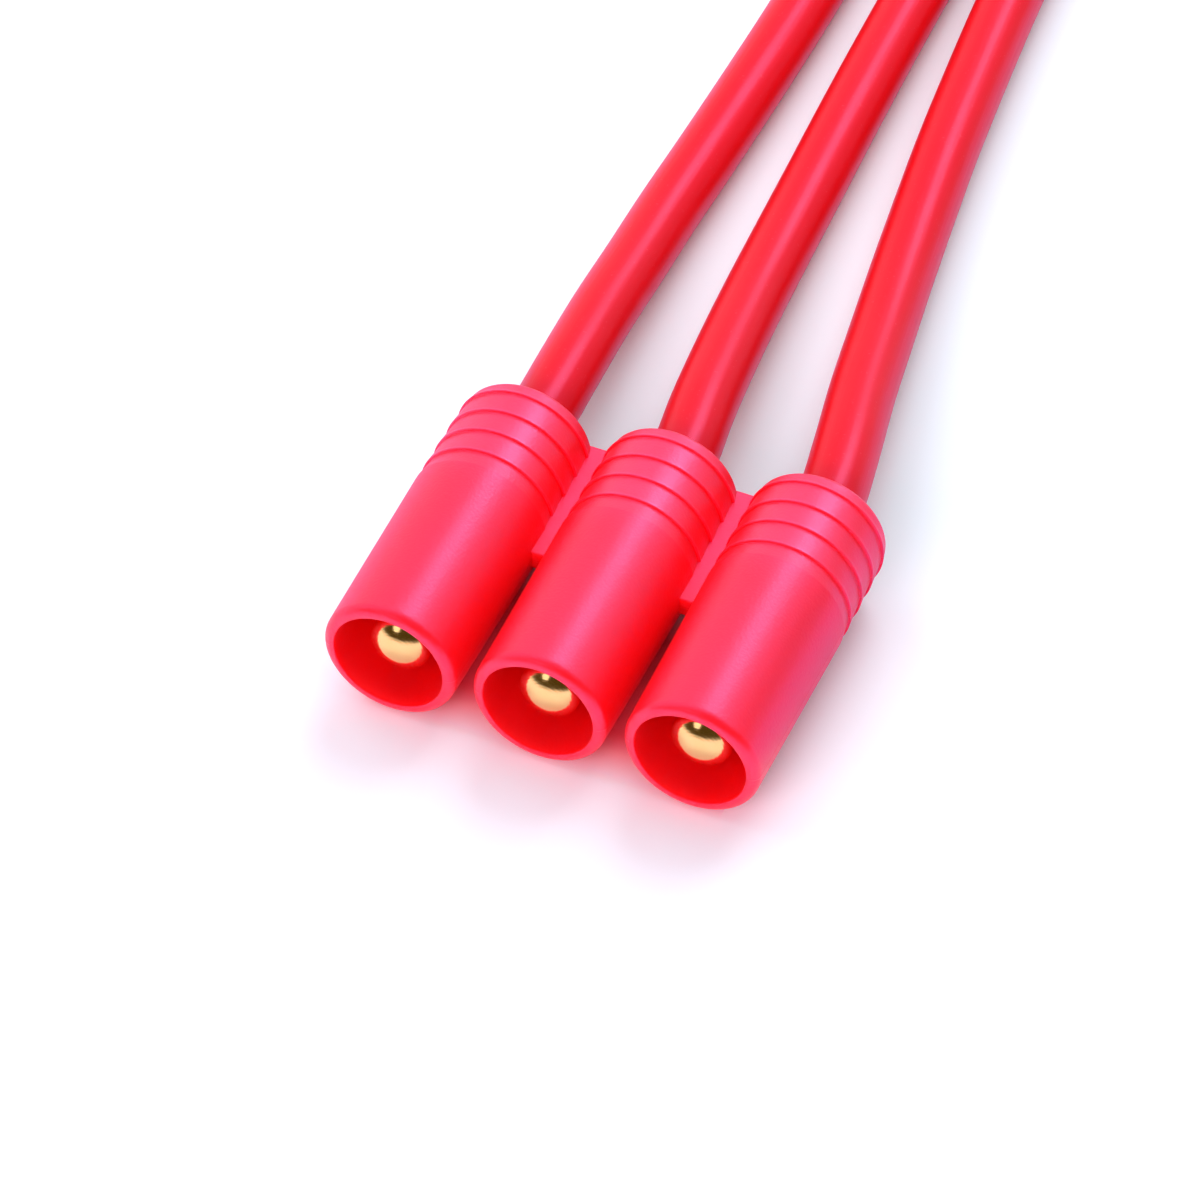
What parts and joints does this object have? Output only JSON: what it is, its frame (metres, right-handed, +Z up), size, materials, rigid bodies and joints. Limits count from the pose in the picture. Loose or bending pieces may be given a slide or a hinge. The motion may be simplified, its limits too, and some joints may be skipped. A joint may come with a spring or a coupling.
{
  "type": "shrouded bullet connector",
  "caption": "Moulded in-line battery connector: gold spring plugs set in open round shrouds joined by webs, with ringed rear ends and flexible silicone leads.",
  "frame": {"origin": "under the middle of the housing, on the surface that it lies on", "axes": "+X across the row of poles, +Y from the open mouths to the leads, +Z up"},
  "size_m": [0.0244, 0.1178, 0.0077],
  "materials": {
    "housing": "satin moulded red",
    "contact": "bright gold plate",
    "spring": "gold plated spring strip",
    "solder": "dull solder",
    "conductor": "tinned copper strand",
    "insulation": "smooth red silicone"
  },
  "bodies": {
    "root": {"housing": "housing", "contact_left": "contact", "contact_centre": "contact", "contact_right": "contact", "spring_cage_left": "spring", "spring_cage_centre": "spring", "spring_cage_right": "spring", "solder_joint_left": "solder", "solder_joint_centre": "solder", "solder_joint_right": "solder", "conductor_left": "conductor", "conductor_centre": "conductor", "conductor_right": "conductor", "insulation_left": "insulation", "insulation_centre": "insulation", "insulation_right": "insulation"}
  },
  "joints": []
}
